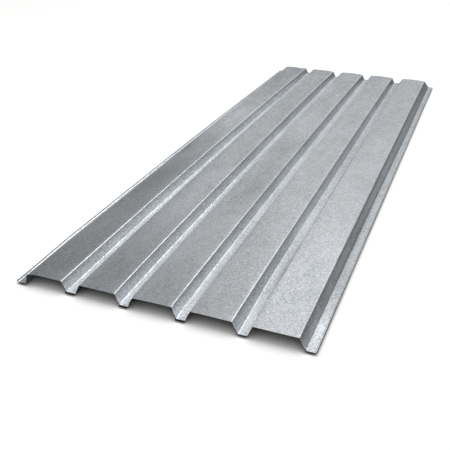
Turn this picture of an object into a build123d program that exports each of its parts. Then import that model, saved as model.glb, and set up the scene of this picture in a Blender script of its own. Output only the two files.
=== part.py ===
from build123d import *
import os

# A corrugated steel sheet for roofs and walls, lying with its broad flats up.
# All sizes are in millimetres.
# X runs across the ribs, Y runs along them and Z points up.
# The origin is on the floor, under the middle of the sheet.

# Stock
STEEL_THICKNESS = 0.7
SHEET_LENGTH = 3100.0

# Waves
CREST_COUNT = 5
CREST_FLAT = 139.5
TROUGH_FLAT = 34.5
WEB_RUN = 16.5
WAVE_RISE = 38.3
LAST_CREST_EXTRA = 11.5
LAST_WEB_RUN = 23.5
BEND_RADIUS = 5.0

# Long edges
LEFT_FLANGE = 26.0
RIGHT_FLANGE = 31.0
LIP_RUN = 1.5
LIP_RISE = 5.5


def upper_outline():
    """Corner points of the sheet's upper face, from the left lip to the right lip."""
    low = 0.0
    high = WAVE_RISE
    x = 0.0
    points = [(x, low + LIP_RISE)]
    x += LIP_RUN
    points.append((x, low))
    x += LEFT_FLANGE
    points.append((x, low))
    for crest in range(CREST_COUNT):
        last = crest == CREST_COUNT - 1
        x += WEB_RUN
        points.append((x, high))
        x += CREST_FLAT + (LAST_CREST_EXTRA if last else 0.0)
        points.append((x, high))
        x += LAST_WEB_RUN if last else WEB_RUN
        points.append((x, low))
        x += RIGHT_FLANGE if last else TROUGH_FLAT
        points.append((x, low))
    x += LIP_RUN
    points.append((x, low + LIP_RISE))
    return points


def folded_section():
    """The bent strip seen from its end, with every fold rounded."""
    corners = upper_outline()
    middle = (corners[0][0] + corners[-1][0]) / 2
    lifted = [(x - middle, z + STEEL_THICKNESS) for x, z in corners]
    upper_line = FilletPolyline(*lifted, radius=BEND_RADIUS)
    rim = offset(upper_line, amount=STEEL_THICKNESS, side=Side.RIGHT)
    return make_face(rim)


def corrugated_sheet():
    """The whole sheet, one strip of steel folded into ribs."""
    upright_section = Plane.XZ * folded_section()
    return extrude(upright_section, amount=SHEET_LENGTH / 2, both=True)


os.makedirs("parts", exist_ok=True)

sheet = corrugated_sheet()
sheet.label = "corrugated_sheet"
export_step(sheet, "parts/corrugated_sheet.step")
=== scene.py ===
import math

import bpy
import numpy as np
from mathutils import Matrix, Vector


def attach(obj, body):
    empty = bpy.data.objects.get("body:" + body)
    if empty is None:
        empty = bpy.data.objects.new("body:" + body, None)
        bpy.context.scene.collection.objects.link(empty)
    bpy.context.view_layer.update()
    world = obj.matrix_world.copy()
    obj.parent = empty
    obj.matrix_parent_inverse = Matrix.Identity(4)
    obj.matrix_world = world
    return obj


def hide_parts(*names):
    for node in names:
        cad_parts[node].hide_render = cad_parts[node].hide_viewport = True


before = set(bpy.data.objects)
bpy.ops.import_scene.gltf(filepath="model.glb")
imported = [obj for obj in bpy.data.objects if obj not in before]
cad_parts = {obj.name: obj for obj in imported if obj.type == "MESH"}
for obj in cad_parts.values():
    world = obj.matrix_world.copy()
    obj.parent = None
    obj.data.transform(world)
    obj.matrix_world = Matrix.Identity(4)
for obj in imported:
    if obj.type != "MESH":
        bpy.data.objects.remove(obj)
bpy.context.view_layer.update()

# The sheet's sizes, in millimetres, as they are in the solid part.
STEEL_THICKNESS = 0.7
SHEET_LENGTH = 3100.0
CREST_COUNT = 5
CREST_FLAT = 139.5
TROUGH_FLAT = 34.5
WEB_RUN = 16.5
WAVE_RISE = 38.3
LAST_CREST_EXTRA = 11.5
LAST_WEB_RUN = 23.5
BEND_RADIUS = 5.0
LEFT_FLANGE = 26.0
RIGHT_FLANGE = 31.0
LIP_RUN = 1.5
LIP_RISE = 5.5

MM = 0.001
NEAR_END = -SHEET_LENGTH / 2
FAR_END = SHEET_LENGTH / 2

# The rolls bend each crest's left edge and right foot a little tighter than the other folds.
CREST_EDGE_RADIUS = 3.0
CREST_FOOT_RADIUS = 3.5

# Each lip ends in a small hem, turned over outwards: its corners, across and up from the top of the lip.
HEM_RADIUS = 1.0
LEFT_HEM = [(-4.8, -2.8), (-2.8, 0.8)]
RIGHT_HEM = [(1.4, 0.4), (3.0, -3.0)]

# The mesh has this many steps in each fold and points this far apart on the flats.
ARC_STEPS = 6
FLAT_SPACING = 15.0

# Its rows along the sheet are closer together over these lengths at the two ends.
NEAR_CLOSE_LENGTH = 40.0
FAR_CLOSE_LENGTH = 300.0
NEAR_ROWS = 6
MIDDLE_ROWS = 120
FAR_ROWS = 34


def smooth(value, low, high):
    """0 up to the low value, 1 from the high one on, and an even S between them."""
    t = np.clip((value - low) / (high - low), 0.0, 1.0)
    return t * t * (3 - 2 * t)


def bump(value, middle, reach):
    """A soft bump, 1 at its middle and about a third of that one reach away."""
    return np.exp(-(((value - middle) / reach) ** 2))


def rib_height(z):
    """How high a point of the upper face is in its rib: 0 in the troughs and 1 on the crests."""
    return np.clip((z - STEEL_THICKNESS) / WAVE_RISE, 0.0, 1.0)


# The folded section


def upper_outline():
    """Corner points of the upper face, from the left lip to the right lip, and each crest's two sides."""
    points = [(0.0, LIP_RISE), (LIP_RUN, 0.0)]
    x = LIP_RUN + LEFT_FLANGE
    points.append((x, 0.0))
    crests = []
    for crest in range(CREST_COUNT):
        last = crest == CREST_COUNT - 1
        left = x + WEB_RUN
        right = left + CREST_FLAT + (LAST_CREST_EXTRA if last else 0.0)
        foot = right + (LAST_WEB_RUN if last else WEB_RUN)
        x = foot + (RIGHT_FLANGE if last else TROUGH_FLAT)
        points += [(left, WAVE_RISE), (right, WAVE_RISE), (foot, 0.0), (x, 0.0)]
        crests.append((left, right))
    points.append((x + LIP_RUN, LIP_RISE))
    middle = (points[0][0] + points[-1][0]) / 2
    corners = np.array([(px - middle, pz + STEEL_THICKNESS) for px, pz in points])
    return corners, [(left - middle, right - middle) for left, right in crests]


def unit(vector):
    """The vector at length 1."""
    return vector / np.linalg.norm(vector)


def left_of(way):
    """The direction a quarter turn to the left of a way, which is up on a flat run to the right."""
    return np.array([-way[1], way[0]])


def turned(vector, angle):
    """The vector turned anticlockwise."""
    c, s = math.cos(angle), math.sin(angle)
    return np.array([c * vector[0] - s * vector[1], s * vector[0] + c * vector[1]])


def folded_line(corners, radii):
    """Points along the upper face with each corner rounded, the normal at each and how deep in a fold it is.

    The depth is 0 on a flat, up to 1 in the middle of a fold that bends down and -1 in one that bends up.
    """
    places, normals, folds = [corners[0]], [left_of(unit(corners[1] - corners[0]))], [0.0]

    def run_to(target, normal):
        """Evenly spaced points on a flat, up to but not including its end."""
        begin = places[-1]
        count = max(1, int(round(np.linalg.norm(target - begin) / FLAT_SPACING)))
        for i in range(1, count):
            places.append(begin + (target - begin) * i / count)
            normals.append(normal)
            folds.append(0.0)

    for k in range(1, len(corners) - 1):
        way_in = unit(corners[k] - corners[k - 1])
        way_out = unit(corners[k + 1] - corners[k])
        turn = math.atan2(way_in[0] * way_out[1] - way_in[1] * way_out[0], way_in @ way_out)
        side = 1.0 if turn > 0 else -1.0
        begin = corners[k] - way_in * radii[k] * math.tan(abs(turn) / 2)
        up = left_of(way_in)
        centre = begin + up * radii[k] * side
        run_to(begin, up)
        for i in range(ARC_STEPS + 1):
            normal = turned(up, turn * i / ARC_STEPS)
            places.append(centre - normal * radii[k] * side)
            normals.append(normal)
            folds.append(math.sin(math.pi * i / ARC_STEPS) * -side)
    last_normal = left_of(unit(corners[-1] - corners[-2]))
    run_to(corners[-1], last_normal)
    places.append(corners[-1])
    normals.append(last_normal)
    folds.append(0.0)
    return np.array(places), np.array(normals), np.array(folds)


def hemmed_line():
    """The folded line with a hem on each lip, and each crest's two sides."""
    corners, crests = upper_outline()
    # Three corners come before the first crest. Each crest adds its two edges and the two feet after it.
    radii = [BEND_RADIUS] * len(corners)
    for crest in range(CREST_COUNT):
        radii[3 + 4 * crest] = CREST_EDGE_RADIUS
        radii[5 + 4 * crest] = CREST_FOOT_RADIUS
    left_hem = [corners[0] + np.array(step) for step in LEFT_HEM]
    right_hem = [corners[-1] + np.array(step) for step in RIGHT_HEM]
    hems = [HEM_RADIUS, HEM_RADIUS]
    line = folded_line(np.vstack([left_hem, corners[1:-1], right_hem]), hems + radii[1:-1] + hems)
    return line, crests


# What rolling, shearing and handling did to this one sheet

# All sizes and places are in millimetres. A pair named ALONG or ACROSS is where a change starts and where it
# is complete, along or across the sheet. A pair named HEIGHTS is the same up a rib, as shares of its rise.

# The far end has sprung: its folds sag, its crests are crowned and its troughs have come up.
SPRUNG_ALONG = (FAR_END - 520.0, FAR_END)
FOLD_SAG = 2.6
CREST_CROWN = 3.7
CROWN_LEAN = 0.8
TROUGH_SPRING = 4.5
TROUGH_SPRING_FADE = 10.0
CREST_HEIGHTS = (0.85, 1.0)

# Two slow waves run along each broad flat. Their lengths are given as millimetres to the radian.
FLAT_WAVE = 0.28
LONG_WAVE = 171.0
SHORT_WAVE = 97.0
SHORT_WAVE_SHARE = 0.7
LONG_WAVE_PHASE = 1.7
SHORT_WAVE_PHASE = 2.3
SHORT_WAVE_SLANT = 2.0

# The right lip is pressed down at the far corner.
LIP_PRESSED_SHARE = 0.8
LIP_PRESSED_ALONG = (FAR_END - 120.0, FAR_END - 20.0)
LIP_PRESSED_ACROSS = (536.0, 539.0)

# The first crest's left edge sits low by the near end.
FIRST_EDGE_SAG = 2.8
FIRST_EDGE_REACH = 30.0
FIRST_EDGE_ALONG = (NEAR_END + 100.0, 300.0)

# The first crest is knocked down at its far end.
KNOCK_DEPTH = 4.0
KNOCK_PLACE = -389.0
KNOCK_REACH_ACROSS = 16.0
KNOCK_REACH_ALONG = 26.0


def handling_lift(x, y, z, crests):
    """How far each point of the sheet has moved up from its drawn place."""
    height = rib_height(z)
    on_crest = smooth(height, *CREST_HEIGHTS)
    far = smooth(y, *SPRUNG_ALONG)
    lift = -FOLD_SAG * height * far
    for number, (left, right) in enumerate(crests):
        across = np.clip((x - left) / (right - left), 0.0, 1.0)
        lift += CREST_CROWN * np.sin(math.pi * across ** CROWN_LEAN) * far * on_crest
        phase = LONG_WAVE_PHASE * number
        long_wave = np.sin(y / LONG_WAVE + phase)
        short_wave = np.sin(y / SHORT_WAVE + SHORT_WAVE_PHASE * phase + SHORT_WAVE_SLANT * across)
        wave = FLAT_WAVE * (long_wave + SHORT_WAVE_SHARE * short_wave)
        lift += wave * np.sin(math.pi * across) * on_crest * (1 - far)

    first_fold, last_fold = crests[0][1], crests[-1][0]
    between = smooth(x, first_fold, first_fold + TROUGH_SPRING_FADE)
    between *= 1 - smooth(x, last_fold - TROUGH_SPRING_FADE, last_fold)
    lift += TROUGH_SPRING * (1 - height) * far * between

    lip_height = np.maximum(z - STEEL_THICKNESS, 0.0) * smooth(x, *LIP_PRESSED_ACROSS)
    lift -= LIP_PRESSED_SHARE * lip_height * smooth(y, *LIP_PRESSED_ALONG)
    near = 1 - smooth(y, *FIRST_EDGE_ALONG)
    lift -= FIRST_EDGE_SAG * near * bump(x, crests[0][0], FIRST_EDGE_REACH) * height
    knock = bump(x, KNOCK_PLACE, KNOCK_REACH_ACROSS) * bump(y, FAR_END, KNOCK_REACH_ALONG)
    lift -= KNOCK_DEPTH * knock * height
    return lift


# Two stretches by the near end over which the folds stand uneven.
NEAR_HALF_ALONG = (NEAR_END + 500.0, 600.0)
NEAR_END_ALONG = (NEAR_END, NEAR_END + 350.0)

# The left flange is wide by the near end, so the first web starts further in. At the end itself the flange
# stands further in too. The fade out is measured from the first crest's left edge.
WIDE_FLANGE = 4.0
WIDE_FLANGE_FADE_IN = 22.0
WIDE_FLANGE_FADE_OUT = (5.0, 60.0)
WIDE_FLANGE_FOOT = 2.5
WIDE_FLANGE_FOOT_REACH = 8.0
NEAR_CORNER_SHIFT = 9.0

# The left flange bows out between the ends, most at mid-length.
FLANGE_BOW = 7.0
FLANGE_BOW_FADE = 24.0

# The near end's folds: the place across, the reach and how far to the right each has moved.
NEAR_FOLD_SHIFTS = [
    (283.0, 11.0, 6.0),
    (322.0, 14.0, 1.5),
    (-92.0, 14.0, -4.0),
    (115.0, 14.0, -4.0),
]

# The second crest starts a little further in on the near half.
SECOND_CREST_SHIFT = 3.0
SECOND_CREST_EDGE = -290.0
SECOND_CREST_REACH = 12.0
SECOND_CREST_ALONG = (-500.0, 600.0)

# Between the ends the ribs wander to the left, most at one place across and a little short of mid-length.
# The wander is a sine wave to a power: the smaller the power, the further the wander is drawn out.
WANDER = 14.5
WANDER_PLACE = -210.0
WANDER_REACH_LEFT = 240.0
WANDER_REACH_RIGHT = 430.0
WANDER_LEAN = 0.85
WANDER_POWER_LEFT = 1.15
WANDER_POWER_RIGHT = 0.6
WANDER_POWER_ACROSS = (-330.0, -140.0)
FIRST_TROUGH_WANDER = 3.0
FIRST_TROUGH_PLACE = -328.0
FIRST_TROUGH_REACH = 22.0

# The last web's foot runs out towards the far end.
LAST_FOOT_SHIFT = 6.0
LAST_FOOT = 506.0
LAST_FOOT_REACH = 11.0
LAST_FOOT_ALONG = (-500.0, 700.0)

# The left folds of the second to the fourth crest open at the far end. The fade is measured from the fold.
LEFT_FOLD_OPENING = 8.0
LEFT_FOLD_FADE = (10.0, 70.0)
LEFT_FOLD_ALONG = (FAR_END - 420.0, FAR_END)


def sideways_shift(x, y, z, crests):
    """How far each point of the sheet has moved to the right."""
    edge = crests[0][0]
    foot = edge - WEB_RUN
    near_half = 1 - smooth(y, *NEAR_HALF_ALONG)
    near_end = 1 - smooth(y, *NEAR_END_ALONG)
    fade_start, fade_end = WIDE_FLANGE_FADE_OUT
    by_flange = smooth(x, foot - WIDE_FLANGE_FADE_IN, foot)
    by_flange *= 1 - smooth(x, edge + fade_start, edge + fade_end)
    shift = WIDE_FLANGE * near_half * by_flange
    shift += WIDE_FLANGE_FOOT * near_half * bump(x, foot, WIDE_FLANGE_FOOT_REACH)
    shift += NEAR_CORNER_SHIFT * near_end * (1 - smooth(x, foot, edge))
    on_flange = 1 - smooth(x, foot - FLANGE_BOW_FADE, foot)
    shift -= FLANGE_BOW * np.cos(math.pi * y / SHEET_LENGTH) ** 2 * on_flange

    for middle, reach, amount in NEAR_FOLD_SHIFTS:
        shift += amount * near_end * bump(x, middle, reach)
    second_crest = 1 - smooth(y, *SECOND_CREST_ALONG)
    shift += SECOND_CREST_SHIFT * second_crest * bump(x, SECOND_CREST_EDGE, SECOND_CREST_REACH)

    share_along = np.clip(0.5 + y / SHEET_LENGTH, 0.0, 1.0)
    to_the_right = smooth(x, *WANDER_POWER_ACROSS)
    power = WANDER_POWER_LEFT + (WANDER_POWER_RIGHT - WANDER_POWER_LEFT) * to_the_right
    wander = np.sin(math.pi * share_along ** WANDER_LEAN) ** power
    wander_reach = np.where(x < WANDER_PLACE, WANDER_REACH_LEFT, WANDER_REACH_RIGHT)
    shift -= WANDER * wander * bump(x, WANDER_PLACE, wander_reach)
    shift -= FIRST_TROUGH_WANDER * wander * bump(x, FIRST_TROUGH_PLACE, FIRST_TROUGH_REACH)

    shift += LAST_FOOT_SHIFT * smooth(y, *LAST_FOOT_ALONG) * bump(x, LAST_FOOT, LAST_FOOT_REACH)
    opening = LEFT_FOLD_OPENING * smooth(y, *LEFT_FOLD_ALONG) * rib_height(z)
    fade_start, fade_end = LEFT_FOLD_FADE
    for left, _ in crests[1:-1]:
        up_web = np.clip((x - (left - WEB_RUN)) / WEB_RUN, 0.0, 1.0)
        shift -= opening * up_web * (1 - smooth(x, left + fade_start, left + fade_end))
    return shift


# The ends are cut out of square: out at the near left corner, in at the near right crests and out at the far
# end of the first trough.
NEAR_CUT_ALONG = (NEAR_END, NEAR_END + 60.0)
FAR_CUT_ALONG = (FAR_END - 120.0, FAR_END)
LEFT_CORNER_CUT = -11.0
LEFT_CORNER_ACROSS = (-512.0, -470.0)
RIGHT_CRESTS_CUT = 3.0
RIGHT_CRESTS_ACROSS = (-100.0, 0.0)
RIGHT_CRESTS_HEIGHTS = (0.8, 1.0)
FAR_TROUGH_CUT = 20.0
FAR_TROUGH_PLACE = -338.0
FAR_TROUGH_REACH = 45.0


def end_cut(x, y, z):
    """How far each point has moved along the sheet, because the two cuts aren't square."""
    near = 1 - smooth(y, *NEAR_CUT_ALONG)
    far = smooth(y, *FAR_CUT_ALONG)
    left_corner = LEFT_CORNER_CUT * near * (1 - smooth(x, *LEFT_CORNER_ACROSS))
    on_crest = smooth(rib_height(z), *RIGHT_CRESTS_HEIGHTS)
    right_crests = RIGHT_CRESTS_CUT * near * on_crest * smooth(x, *RIGHT_CRESTS_ACROSS)
    far_trough = FAR_TROUGH_CUT * far * bump(x, FAR_TROUGH_PLACE, FAR_TROUGH_REACH)
    return left_corner + right_crests + far_trough


# The lower side of the near end is drawn out and down into a dark band that is painted contact shadow,
# less at the sheet's left and right, and only up to a few millimetres above the troughs.
SHADOW_BAND_DRAW = 7.0
SHADOW_BAND_DROP = 0.8
SHADOW_BAND_FADE_UP = (0.3, 4.0)
SHADOW_BAND_SHARE_LEFT = 0.35
SHADOW_BAND_SHARE_RIGHT = 0.6
SHADOW_BAND_LEFT_ACROSS = (-500.0, -400.0)
SHADOW_BAND_RIGHT_ACROSS = (160.0, 320.0)


def shadow_band_share(top):
    """How much of the painted shadow band's draw each point of the near end takes, which is none on the
    crests.
    """
    x, z = top[:, 0], top[:, 1]
    in_trough = 1 - smooth(z - STEEL_THICKNESS, *SHADOW_BAND_FADE_UP)
    share = SHADOW_BAND_SHARE_LEFT + (1 - SHADOW_BAND_SHARE_LEFT) * smooth(x, *SHADOW_BAND_LEFT_ACROSS)
    return in_trough * (share - (1 - SHADOW_BAND_SHARE_RIGHT) * smooth(x, *SHADOW_BAND_RIGHT_ACROSS))


# How bright the zinc is drawn, with painted light and shade: lighter troughs, a painted reflection low on
# the webs, painted shade on the crests, the right troughs and the far webs, and painted light on the near
# webs.
TROUGH_BRIGHTNESS = 1.06
WEB_PAINTED_REFLECTION = 0.16
RIGHT_TROUGHS_PAINTED_SHADE = 0.26
RIGHT_TROUGHS_ACROSS = (60.0, 420.0)
CRESTS_PAINTED_SHADE = 0.21
CRESTS_SHADE_HEIGHTS = (0.25, 1.0)
NEAR_WEBS_PAINTED_LIGHT = 0.08
NEAR_WEBS_ALONG = (NEAR_END, NEAR_END + 300.0)
FAR_WEBS_PAINTED_SHADE = 0.16
FAR_WEBS_ALONG = (-300.0, 900.0)
FAR_WEBS_ACROSS = (-330.0, -100.0)

# A fold's point counts as facing left or right from this lean on.
LEAN = 0.02

# The folds at the crests' edges are painted lighter, a painted highlight along with the rolls' burnish, most
# towards the far end and at the left edges. The last crest's right fold gets none of it.
FOLD_HIGHLIGHT_NEAR = -0.12
FOLD_HIGHLIGHT_FAR = 0.48
FOLD_HIGHLIGHT_LEFT = 0.25
FOLD_HIGHLIGHT_ALONG = (-600.0, 1300.0)
UNHIGHLIT_REACH = 6.0

# The right foot of each crest but the last gets a painted highlight along its crease, most by the near end.
FOOT_PAINTED_HIGHLIGHT = 0.12
FOOT_HIGHLIGHT_ALONG = (-200.0, 1300.0)

# The hems' outer faces are painted dark, a painted shade for the dark line along each side, less so on the
# right. The painted shade starts this far outside the lips' tops.
LEFT_SHADED_HEM = 1.4
RIGHT_SHADED_HEM = 0.6
SHADED_HEM_BRIGHTNESS = 0.15
RIGHT_HEM_LESS_SHADE = 0.25
RIGHT_HEM_SHADE_ALONG = (-1500.0, -900.0)

# The underside is painted darker as painted shade, less of it under the left flange.
UNDERSIDE_PAINTED_SHADE = 0.36
UNDER_FLANGE_LESS_SHADE = 0.45
UNDER_FLANGE_SHADE_ACROSS = (-500.0, -470.0)

# Soft light and dark clouds, listed one by one: partly the zinc's uneven tone and partly painted light and
# shade. Each has its middle across and along, its reach across and along, all in millimetres, and how much
# lighter it is.
MOTTLE_AND_PAINTED_LIGHT_CLOUDS = {
    "left flange and its web": [
        (-520, 450, 30, 160, 0.18),
        (-525, -900, 22, 800, 0.58),
        (-528, 400, 14, 250, 0.18),
        (-505, -230, 25, 120, -0.08),
        (-522, -1530, 22, 60, -0.45),
    ],
    "first crest": [
        (-380, -1516, 14, 22, 0.14),
        (-430, -1490, 45, 90, -0.07),
        (-465, -1060, 34, 240, 0.19),
        (-435, -620, 40, 150, -0.08),
        (-480, -450, 25, 100, 0.11),
        (-480, -200, 30, 150, -0.12),
        (-410, -60, 45, 110, -0.11),
        (-450, 60, 40, 120, -0.06),
        (-430, 230, 90, 330, 0.17),
        (-450, 420, 30, 150, 0.07),
        (-426, 1230, 110, 420, -0.13),
        (-390, 1480, 50, 60, -0.10),
    ],
    "first trough and its webs": [
        (-327, -1330, 9, 330, -0.10),
        (-348, -1250, 12, 250, 0.20),
        (-337, -1200, 4, 420, -0.18),
        (-326, -1000, 12, 300, -0.16),
        (-289, -900, 8, 450, 0.14),
        (-332, -850, 6, 650, -0.13),
        (-352, -500, 6, 260, 0.14),
        (-318, -350, 12, 160, 0.10),
        (-347, 0, 12, 2500, 0.13),
        (-292, 900, 12, 260, 0.12),
        (-300, 950, 22, 300, 0.12),
        (-339, 1000, 12, 500, -0.08),
        (-300, 1250, 14, 200, 0.12),
    ],
    "second crest": [
        (-195, -1430, 45, 110, -0.05),
        (-282, -1400, 14, 260, 0.16),
        (-235, -1000, 45, 170, 0.09),
        (-230, -930, 110, 300, 0.20),
        (-210, -560, 50, 300, 0.17),
        (-245, -550, 16, 30, 0.10),
        (-215, -490, 16, 30, 0.10),
        (-180, -425, 16, 30, 0.10),
        (-190, 500, 60, 600, -0.04),
        (-165, 1000, 25, 400, -0.07),
        (-276, 1310, 16, 200, 0.09),
    ],
    "second trough and its webs": [
        (-105, -1500, 22, 120, 0.10),
        (-112, -1430, 16, 90, 0.12),
        (-95, -1300, 14, 120, 0.16),
        (-122, -1080, 10, 160, -0.10),
        (-142, 600, 10, 900, 0.08),
        (-132, 1100, 12, 400, -0.04),
        (-100, 1300, 20, 150, 0.10),
    ],
    "third crest": [
        (40, -1480, 30, 80, -0.07),
        (-68, -1430, 14, 170, 0.10),
        (-60, -1180, 60, 180, 0.17),
        (-80, -750, 8, 550, 0.14),
        (0, -720, 45, 120, -0.08),
        (10, -560, 45, 100, -0.14),
        (20, -350, 45, 300, -0.12),
        (-15, -60, 45, 110, -0.11),
        (-30, 430, 60, 200, 0.09),
        (-66, 1080, 16, 120, 0.07),
        (-60, 1150, 25, 200, 0.10),
    ],
    "third trough and its webs": [
        (100, -1500, 22, 150, 0.36),
        (113, -1450, 10, 120, 0.20),
        (98, -900, 12, 180, 0.15),
        (66, 200, 14, 150, -0.12),
        (100, 1080, 14, 200, 0.05),
    ],
    "fourth crest": [
        (200, -1470, 60, 90, -0.06),
        (150, -800, 40, 130, -0.11),
        (195, -180, 50, 260, -0.06),
        (195, 330, 50, 90, 0.13),
    ],
    "fourth trough and its webs": [
        (273, -1480, 10, 80, -0.15),
        (298, -1450, 24, 200, 0.24),
        (310, -1130, 12, 150, -0.20),
        (316, -1130, 8, 120, -0.12),
        (300, -700, 20, 500, 0.12),
        (279, 820, 8, 300, 0.20),
        (308, 820, 16, 220, 0.10),
        (273, 1250, 10, 260, -0.12),
    ],
    "last crest": [
        (345, -1380, 24, 150, 0.13),
        (410, -1200, 90, 400, 0.10),
        (345, 800, 24, 200, 0.06),
        (470, 1320, 25, 130, -0.13),
        (345, 1330, 18, 160, 0.07),
    ],
    "last web and right flange": [
        (495, -1500, 20, 60, -0.22),
        (520, -1480, 25, 90, 0.25),
        (525, -1380, 20, 120, 0.15),
        (518, -1090, 16, 120, -0.16),
        (502, -800, 8, 600, -0.22),
        (485, -200, 4, 1500, -0.30),
        (505, -200, 4, 1500, -0.34),
        (494, 300, 8, 1100, 0.10),
        (496, 500, 16, 900, 0.28),
    ],
}


def brightness_with_painted_light(x, y, z):
    """How bright the zinc is drawn at each point of the upper face, painted light and shade included, apart
    from its folds and hems.
    """
    height = rib_height(z)
    # Painted light and shade by height in the rib, across the sheet and along it.
    web = np.sin(math.pi * height)
    brightness = TROUGH_BRIGHTNESS + WEB_PAINTED_REFLECTION * web * (1 - height)
    brightness -= RIGHT_TROUGHS_PAINTED_SHADE * smooth(x, *RIGHT_TROUGHS_ACROSS) * (1 - height)
    brightness -= CRESTS_PAINTED_SHADE * smooth(height, *CRESTS_SHADE_HEIGHTS)
    brightness += NEAR_WEBS_PAINTED_LIGHT * web * (1 - smooth(y, *NEAR_WEBS_ALONG))
    brightness -= FAR_WEBS_PAINTED_SHADE * web * smooth(y, *FAR_WEBS_ALONG) * smooth(x, *FAR_WEBS_ACROSS)
    # The clouds are partly the zinc's uneven tone and partly painted light and shade.
    for clouds in MOTTLE_AND_PAINTED_LIGHT_CLOUDS.values():
        for across, along, reach_across, reach_along, amount in clouds:
            brightness += amount * bump(x, across, reach_across) * bump(y, along, reach_along)
    return brightness


# The mesh


def rows_along():
    """Where the mesh has its rows along the sheet."""
    near, far = NEAR_END + NEAR_CLOSE_LENGTH, FAR_END - FAR_CLOSE_LENGTH
    near_rows = np.linspace(NEAR_END, near, NEAR_ROWS)
    middle_rows = np.linspace(near, far, MIDDLE_ROWS)
    far_rows = np.linspace(far, FAR_END, FAR_ROWS)
    return np.concatenate([near_rows[:-1], middle_rows[:-1], far_rows])


def sheet_points(top, normals, rows, crests):
    """Points of the mesh in metres: the upper layer and then the under layer, each row by row."""
    size = (len(rows), len(top))
    y = np.broadcast_to(rows[:, None], size)
    top_z = np.broadcast_to(top[:, 1], size)
    layers = []
    for line in (top, top - normals * STEEL_THICKNESS):
        x = np.broadcast_to(line[:, 0], size)
        moved_x = x + sideways_shift(x, y, top_z, crests)
        moved_y = y + end_cut(x, y, top_z)
        moved_z = line[:, 1] + handling_lift(x, y, top_z, crests)
        layers.append(np.stack([moved_x, moved_y, moved_z], -1))
    # The near under edge is drawn out and down into the band of painted contact shadow.
    near_shadow_band_edge = layers[1][0]
    near_shadow_band_edge[:, 1] -= SHADOW_BAND_DRAW * shadow_band_share(top)
    near_shadow_band_edge[:, 2] -= SHADOW_BAND_DROP * shadow_band_share(top)
    return np.stack(layers).reshape(-1, 3) * MM


def sheet_faces(along, across):
    """The faces of the upper and under sides, and those of the four cut edges."""

    def at(layer, j, i):
        return (layer * along + j) * across + i

    faces, edge_faces = [], []
    for j in range(along - 1):
        for i in range(across - 1):
            faces.append((at(0, j, i), at(0, j, i + 1), at(0, j + 1, i + 1), at(0, j + 1, i)))
            faces.append((at(1, j, i), at(1, j + 1, i), at(1, j + 1, i + 1), at(1, j, i + 1)))
    k = across - 1
    for j in range(along - 1):
        edge_faces.append((at(0, j, 0), at(0, j + 1, 0), at(1, j + 1, 0), at(1, j, 0)))
        edge_faces.append((at(0, j, k), at(1, j, k), at(1, j + 1, k), at(0, j + 1, k)))
    k = along - 1
    for i in range(across - 1):
        edge_faces.append((at(0, 0, i), at(1, 0, i), at(1, 0, i + 1), at(0, 0, i + 1)))
        edge_faces.append((at(0, k, i), at(0, k, i + 1), at(1, k, i + 1), at(1, k, i)))
    return faces, edge_faces


def sheet_finish(top, normals, folds, rows, crests):
    """How bright the zinc is drawn, painted light and shade included, and how much painted fold highlight
    and burnish it has.
    """
    size = (len(rows), len(top))
    x = np.broadcast_to(top[:, 0], size)
    y = np.broadcast_to(rows[:, None], size)
    z = np.broadcast_to(top[:, 1], size)
    last_left, last_right = crests[-1]
    brightness = brightness_with_painted_light(x, y, z)

    # A painted highlight along the crests' folds, with the rolls' burnish.
    burnish_and_highlight = np.clip(folds, 0.0, 1.0) * (np.abs(top[:, 0] - last_right) > UNHIGHLIT_REACH)
    fold_highlight = FOLD_HIGHLIGHT_NEAR + FOLD_HIGHLIGHT_FAR * smooth(y, *FOLD_HIGHLIGHT_ALONG) + FOLD_HIGHLIGHT_LEFT * (normals[:, 0] < -LEAN)
    brightness += burnish_and_highlight * fold_highlight
    # A painted highlight along the crests' feet.
    foot_fold = np.clip(-folds, 0.0, 1.0) * (normals[:, 0] > LEAN) * (top[:, 0] < last_left)
    brightness += FOOT_PAINTED_HIGHLIGHT * foot_fold * (1 - smooth(y, *FOOT_HIGHLIGHT_ALONG))

    lip_top = WEB_RUN + LEFT_FLANGE + LIP_RUN - crests[0][0]
    # Painted shade on the hems' outer faces.
    shaded_hems = (x < -lip_top - LEFT_SHADED_HEM) | (x > lip_top + RIGHT_SHADED_HEM)
    right_hem_less_shade = RIGHT_HEM_LESS_SHADE * (x > 0.0) * smooth(y, *RIGHT_HEM_SHADE_ALONG)
    brightness = np.where(shaded_hems, SHADED_HEM_BRIGHTNESS + right_hem_less_shade, brightness)
    # Painted shade on the underside.
    underside_shade = UNDERSIDE_PAINTED_SHADE + UNDER_FLANGE_LESS_SHADE * (1 - smooth(x, *UNDER_FLANGE_SHADE_ACROSS))
    burnish_and_highlight = np.broadcast_to(burnish_and_highlight, size)
    return np.stack([brightness, underside_shade * brightness]), np.stack([burnish_and_highlight, burnish_and_highlight])


def store_values(mesh, name, values):
    """Keeps one value at each point of the mesh, for the zinc to read."""
    layer = mesh.attributes.new(name, "FLOAT", "POINT")
    layer.data.foreach_set("value", values.reshape(-1).astype(np.float32))


def sharpen(mesh, faces):
    """Makes every side of those faces a sharp edge."""
    sides = set()
    for face in faces:
        sides.update(tuple(sorted(side)) for side in zip(face, face[1:] + face[:1]))
    for edge in mesh.edges:
        if tuple(sorted(edge.vertices)) in sides:
            edge.use_edge_sharp = True


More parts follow.
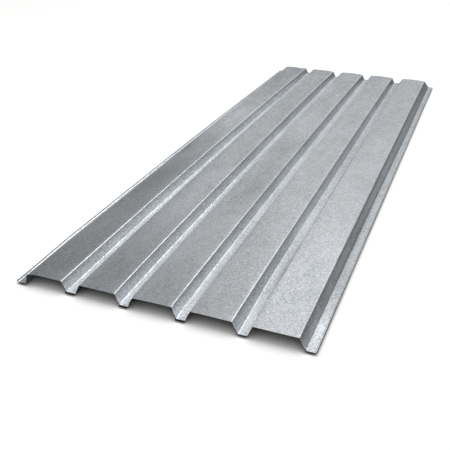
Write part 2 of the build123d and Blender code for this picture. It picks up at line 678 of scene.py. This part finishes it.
def sheet_mesh():
    """The folded sheet as one closed mesh, with its zinc faces and its cut edges apart in two materials."""
    (top, normals, folds), crests = hemmed_line()
    rows = rows_along()
    points = sheet_points(top, normals, rows, crests)
    faces, edge_faces = sheet_faces(len(rows), len(top))
    mesh = bpy.data.meshes.new("sheet")
    mesh.from_pydata([tuple(p) for p in points], [], faces + edge_faces)
    mesh.polygons.foreach_set("use_smooth", [True] * len(faces) + [False] * len(edge_faces))
    mesh.polygons.foreach_set("material_index", [0] * len(faces) + [1] * len(edge_faces))
    brightness, burnish_and_highlight = sheet_finish(top, normals, folds, rows, crests)
    store_values(mesh, "brightness", brightness)
    store_values(mesh, "burnish_and_highlight", burnish_and_highlight)
    sharpen(mesh, edge_faces)
    mesh.update()
    return mesh


# The materials

# Sizes of the zinc's crystals, grain, mottling and clouds, in millimetres. The last two are drawn out
# along the strip.
CRYSTAL = 4.0
COARSE_CRYSTAL = 11.0
GRAIN = 3.5
MOTTLE = 30.0
CLOUD = 130.0
DRAWN_OUT = 0.45

# The share of the grain among the crystals, of the coarse crystals at the far end, of the clouds among the
# mottling, and of the mottling and clouds in all.
GRAIN_SHARE = 0.65
COARSE_SHARE = 0.27
COARSE_ALONG = (-700.0, 1300.0)
CLOUD_SHARE = 0.68
BROAD_SHARE = 0.30

ZINC_TONES = [(0.25, "#888d91"), (0.5, "#ced2d6"), (0.75, "#f9fcff")]
ZINC_METALLIC = 0.76
DULL_ROUGHNESS = 0.44
BRIGHT_ROUGHNESS = 0.30
ROUGHNESS_PATTERN = (0.3, 0.7)
GRAIN_RELIEF = 0.2
GRAIN_RELIEF_STRENGTH = 0.12

# The folds are painted lighter, a painted highlight along with the rolls' burnish, and have less grain.
BURNISH_HIGHLIGHT_ZINC = "#fbfdfe"
BURNISH_HIGHLIGHT_SHARE = 0.65

# These near-black tones are painted shadow on the cut edges.
CUT_EDGE_SHADOW_TONES = [(0.35, "#141516"), (0.65, "#2a2c2e")]
CUT_STEEL_SMEAR = 7.0
CUT_STEEL_ROUGHNESS = 0.6

# The small dent on the third crest near the far end is painted as two light spots of painted highlight with
# a dark spot of painted shadow beside them. Each spot has its middle and its reach, across and along in
# millimetres, and how much lighter it is.
DENT_HIGHLIGHT_AND_SHADOW_SPOTS = [
    ((14, 980), (17, 15), 0.75),
    ((22, 1002), (16, 14), 0.45),
    ((34, 976), (17, 16), -0.40),
]


def linear(hex_colour):
    """An sRGB hex colour as linear red, green, blue and alpha."""
    values = [int(hex_colour[i : i + 2], 16) / 255 for i in (1, 3, 5)]
    return [v / 12.92 if v <= 0.04045 else ((v + 0.055) / 1.055) ** 2.4 for v in values] + [1.0]


def add_node(tree, kind, links=None, sockets=None, **settings):
    """A node of that kind with its settings, its socket values and the links that feed it."""
    node = tree.nodes.new(kind)
    for name, value in settings.items():
        setattr(node, name, value)
    for name, value in (sockets or {}).items():
        node.inputs[name].default_value = value
    for name, source in (links or {}).items():
        tree.links.new(source, node.inputs[name])
    return node


def new_material(name):
    """A new material, its emptied node tree and the output that gives the place on the sheet, in metres."""
    material = bpy.data.materials.new(name)
    material.use_nodes = True
    tree = material.node_tree
    tree.nodes.clear()
    return material, tree, add_node(tree, "ShaderNodeTexCoord").outputs["Object"]


def crystal_tones(tree, place, size):
    """Crystals of that size, each with its own tone."""
    cells = {"Scale": 1 / (size * MM), "Randomness": 1.0}
    crystals = add_node(tree, "ShaderNodeTexVoronoi", {"Vector": place}, cells, feature="F1")
    return add_node(tree, "ShaderNodeSeparateColor", {"Color": crystals.outputs["Color"]}).outputs["Red"]


def noise(tree, place, size, detail, roughness):
    """Soft noise of that size."""
    values = {"Scale": 1 / (size * MM), "Detail": detail, "Roughness": roughness}
    return add_node(tree, "ShaderNodeTexNoise", {"Vector": place}, values).outputs["Fac"]


def mixed(tree, first, second, share):
    """Two values mixed, with that share of the second."""
    links, values = {"A": first, "B": second}, {"Factor": share}
    return add_node(tree, "ShaderNodeMix", links, values, data_type="FLOAT").outputs["Result"]


def ranged(tree, value, start, end, start_result, end_result):
    """A value turned from one range to another, and kept inside it."""
    values = {"From Min": start, "From Max": end, "To Min": start_result, "To Max": end_result}
    return add_node(tree, "ShaderNodeMapRange", {"Value": value}, values).outputs["Result"]


def colour_ramp(tree, value, stops):
    """The colour at a value between the stops: (place, hex colour) each."""
    node = add_node(tree, "ShaderNodeValToRGB", {"Fac": value})
    elements = node.color_ramp.elements
    while len(elements) < len(stops):
        elements.new(0.5)
    for element, (place, colour) in zip(elements, stops):
        element.position = place
        element.color = linear(colour)
    return node.outputs["Color"]


def fine_grain(tree, place):
    """Zinc crystals with grain inside and across them, coarser towards the far end."""
    grain = noise(tree, place, GRAIN, detail=1.0, roughness=0.6)
    fine = mixed(tree, crystal_tones(tree, place, CRYSTAL), grain, GRAIN_SHARE)
    coarse = crystal_tones(tree, place, COARSE_CRYSTAL)
    along = add_node(tree, "ShaderNodeSeparateXYZ", {"Vector": place}).outputs["Y"]
    start, end = COARSE_ALONG
    coarse_share = ranged(tree, along, start * MM, end * MM, 0.0, COARSE_SHARE)
    links = {"Factor": coarse_share, "A": fine, "B": coarse}
    return add_node(tree, "ShaderNodeMix", links, data_type="FLOAT").outputs["Result"]


def broad_mottling(tree, place):
    """Mottling, and clouds of dulled zinc, drawn out along the strip."""
    drawn_out = {"Scale": (1.0, DRAWN_OUT, 1.0)}
    mapping = add_node(tree, "ShaderNodeMapping", {"Vector": place}, drawn_out, vector_type="POINT")
    stretched = mapping.outputs["Vector"]
    mottle = noise(tree, stretched, MOTTLE, detail=1.0, roughness=0.6)
    clouds = noise(tree, stretched, CLOUD, detail=3.0, roughness=0.6)
    return mixed(tree, mottle, clouds, CLOUD_SHARE)


def with_dent_highlight_and_shadow(tree, place, brightness):
    """The brightness with the dent's painted highlight and painted shadow spots added."""
    for middle, reach, amount in DENT_HIGHLIGHT_AND_SHADOW_SPOTS:
        around_spot = {
            "Location": (-middle[0] / reach[0], -middle[1] / reach[1], 0.0),
            "Scale": (1 / (reach[0] * MM), 1 / (reach[1] * MM), 0.0),
        }
        spot = add_node(tree, "ShaderNodeMapping", {"Vector": place}, around_spot, vector_type="POINT")
        away = add_node(tree, "ShaderNodeVectorMath", {0: spot.outputs["Vector"]}, operation="LENGTH")
        share = ranged(tree, away.outputs["Value"], 0.0, 1.0, amount, 0.0)
        added = add_node(tree, "ShaderNodeMath", {0: brightness, 1: share}, operation="ADD")
        brightness = added.outputs["Value"]
    return brightness


def hot_dip_galvanised_steel():
    """Steel strip dipped in molten zinc and skin-passed: dull blue-grey with a fine frozen-metal grain."""
    material, tree, place = new_material("Hot-dip galvanised steel strip")
    fine = fine_grain(tree, place)
    pattern = mixed(tree, fine, broad_mottling(tree, place), BROAD_SHARE)
    tone = colour_ramp(tree, pattern, ZINC_TONES)
    # The painted fold highlight, with the rolls' burnish, is mixed into the tone.
    burnish_and_highlight = add_node(tree, "ShaderNodeAttribute", attribute_name="burnish_and_highlight").outputs["Fac"]
    share = add_node(tree, "ShaderNodeMath", {0: burnish_and_highlight}, {1: BURNISH_HIGHLIGHT_SHARE}, operation="MULTIPLY")
    links = {"Factor": share.outputs["Value"], "A": tone}
    tone_with_fold_highlight = add_node(tree, "ShaderNodeMix", links, data_type="RGBA")
    tone_with_fold_highlight.inputs["B"].default_value = linear(BURNISH_HIGHLIGHT_ZINC)
    brightness = add_node(tree, "ShaderNodeAttribute", attribute_name="brightness").outputs["Fac"]
    links = {0: tone_with_fold_highlight.outputs["Result"], "Scale": with_dent_highlight_and_shadow(tree, place, brightness)}
    colour = add_node(tree, "ShaderNodeVectorMath", links, operation="SCALE")
    relief_size = {"Strength": GRAIN_RELIEF_STRENGTH, "Distance": GRAIN_RELIEF * MM}
    relief = add_node(tree, "ShaderNodeBump", {"Height": fine}, relief_size)
    links = {
        "Base Color": colour.outputs["Vector"],
        "Roughness": ranged(tree, pattern, *ROUGHNESS_PATTERN, DULL_ROUGHNESS, BRIGHT_ROUGHNESS),
        "Normal": relief.outputs["Normal"],
    }
    surface = add_node(tree, "ShaderNodeBsdfPrincipled", links, {"Metallic": ZINC_METALLIC})
    add_node(tree, "ShaderNodeOutputMaterial", {"Surface": surface.outputs["BSDF"]})
    return material


def cut_edge_with_painted_shadow():
    """The cut edges of the strip, near black: painted shadow, most of all on the band drawn out under the
    near end.
    """
    material, tree, place = new_material("Cut edge with painted shadow")
    smear = noise(tree, place, CUT_STEEL_SMEAR, detail=3.0, roughness=0.5)
    links = {"Base Color": colour_ramp(tree, smear, CUT_EDGE_SHADOW_TONES)}
    values = {"Metallic": 1.0, "Roughness": CUT_STEEL_ROUGHNESS}
    surface = add_node(tree, "ShaderNodeBsdfPrincipled", links, values)
    add_node(tree, "ShaderNodeOutputMaterial", {"Surface": surface.outputs["BSDF"]})
    return material


# The piece

sheet = bpy.data.objects.new("folded_sheet", sheet_mesh())
bpy.context.scene.collection.objects.link(sheet)
sheet.data.materials.append(hot_dip_galvanised_steel())
sheet.data.materials.append(cut_edge_with_painted_shadow())
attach(sheet, "root")
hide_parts("corrugated_sheet")


# The floor, the lights and the camera, in metres, watts and degrees

FLOOR_REACH = 30.0
FLOOR_LEVEL = -0.0075
FLOOR_COLOUR = "#f5f4f1"
FLOOR_ROUGHNESS = 0.9
DOME_COLOUR = "#fbfdff"
DOME_STRENGTH = 1.44
DOME_HORIZON = 0.08

# Each soft light has its name, its place, its width and height, and its power.
FLOOR_LIGHT = ("overhead softbox", (0.0, 1.4, 7.9), (7.0, 7.0), 268)
SHEET_LIGHTS = [
    ("key softbox", (2.082, 5.153, 5.755), (3.0, 3.0), 144),
    ("back softbox", (0.0, 5.142, 6.128), (3.0, 3.0), 19),
    ("left back panel", (-1.328, 6.250, 4.815), (3.0, 3.0), 19),
    ("low back panel", (-1.3, 7.4, 2.6), (5.0, 3.0), 22),
    ("low right panel", (0.9, 7.4, 1.0), (1.8, 1.0), 4),
    ("side panel", (5.571, 5.571, 1.389), (3.0, 3.0), 12),
    ("high side panel", (5.149, 4.636, 4.0), (3.0, 3.0), 8),
]

CAMERA_PLACE = (0.8630, -3.1553, 1.2729)
CAMERA_HEADING = -21.212
CAMERA_TILT = 27.539
CAMERA_ROLL = 0.723
CAMERA_LENS = 53.79
CAMERA_SENSOR = 36.0
CAMERA_FAR_LIMIT = 200.0


def white_floor():
    """A plain white floor under the sheet."""
    mesh = bpy.data.meshes.new("floor")
    corners = [(x * FLOOR_REACH, y * FLOOR_REACH, 0) for x, y in ((-1, -1), (1, -1), (1, 1), (-1, 1))]
    mesh.from_pydata(corners, [], [(0, 1, 2, 3)])
    floor = bpy.data.objects.new("floor", mesh)
    floor.location.z = FLOOR_LEVEL
    bpy.context.scene.collection.objects.link(floor)
    material = bpy.data.materials.new("White studio floor")
    material.use_nodes = True
    shader = material.node_tree.nodes["Principled BSDF"]
    shader.inputs["Base Color"].default_value = linear(FLOOR_COLOUR)
    shader.inputs["Roughness"].default_value = FLOOR_ROUGHNESS
    mesh.materials.append(material)
    floor.visible_glossy = False


def soft_light(name, place, size, watts, lights_floor):
    """A large soft light that faces the middle of the sheet and shows as a reflection in its zinc."""
    light = bpy.data.lights.new(name, "AREA")
    light.shape = "RECTANGLE"
    light.size, light.size_y = size
    light.energy = watts
    lamp = bpy.data.objects.new(name, light)
    lamp.location = place
    lamp.rotation_euler = (-Vector(place)).to_track_quat("-Z", "Y").to_euler()
    lamp.visible_diffuse = lights_floor
    bpy.context.scene.collection.objects.link(lamp)


def studio_dome():
    """Even white light from above the horizon, for the floor and for the dull part of the zinc."""
    world = bpy.data.worlds.new("studio")
    world.use_nodes = True
    tree = world.node_tree
    background = tree.nodes["Background"]
    background.inputs["Color"].default_value = linear(DOME_COLOUR)
    way = add_node(tree, "ShaderNodeTexCoord").outputs["Generated"]
    height = add_node(tree, "ShaderNodeSeparateXYZ", {"Vector": way}).outputs["Z"]
    strength = ranged(tree, height, DOME_HORIZON, 1.0, 0.0, DOME_STRENGTH)
    tree.links.new(strength, background.inputs["Strength"])
    world.cycles_visibility.glossy = False
    bpy.context.scene.world = world


def photographer_camera():
    """The camera in front of the near end and to its right, looking down along the ribs."""
    heading, tilt, roll = (math.radians(angle) for angle in (CAMERA_HEADING, CAMERA_TILT, CAMERA_ROLL))
    ahead = Vector((math.sin(heading), math.cos(heading), 0))
    level = Vector((math.cos(heading), -math.sin(heading), 0))
    forward = ahead * math.cos(tilt) - Vector((0, 0, math.sin(tilt)))
    upright = level.cross(forward)
    right = level * math.cos(roll) + upright * math.sin(roll)
    up = upright * math.cos(roll) - level * math.sin(roll)
    turn = Matrix((right, up, -forward)).transposed().to_4x4()
    camera = bpy.data.objects.new("camera", bpy.data.cameras.new("camera"))
    camera.data.sensor_width = CAMERA_SENSOR
    camera.data.lens = CAMERA_LENS
    camera.data.clip_end = CAMERA_FAR_LIMIT
    camera.matrix_world = Matrix.Translation(CAMERA_PLACE) @ turn
    bpy.context.scene.collection.objects.link(camera)
    bpy.context.scene.camera = camera


white_floor()
studio_dome()
soft_light(*FLOOR_LIGHT, lights_floor=True)
for sheet_light in SHEET_LIGHTS:
    soft_light(*sheet_light, lights_floor=False)
photographer_camera()
bpy.context.scene.view_settings.view_transform = "Standard"
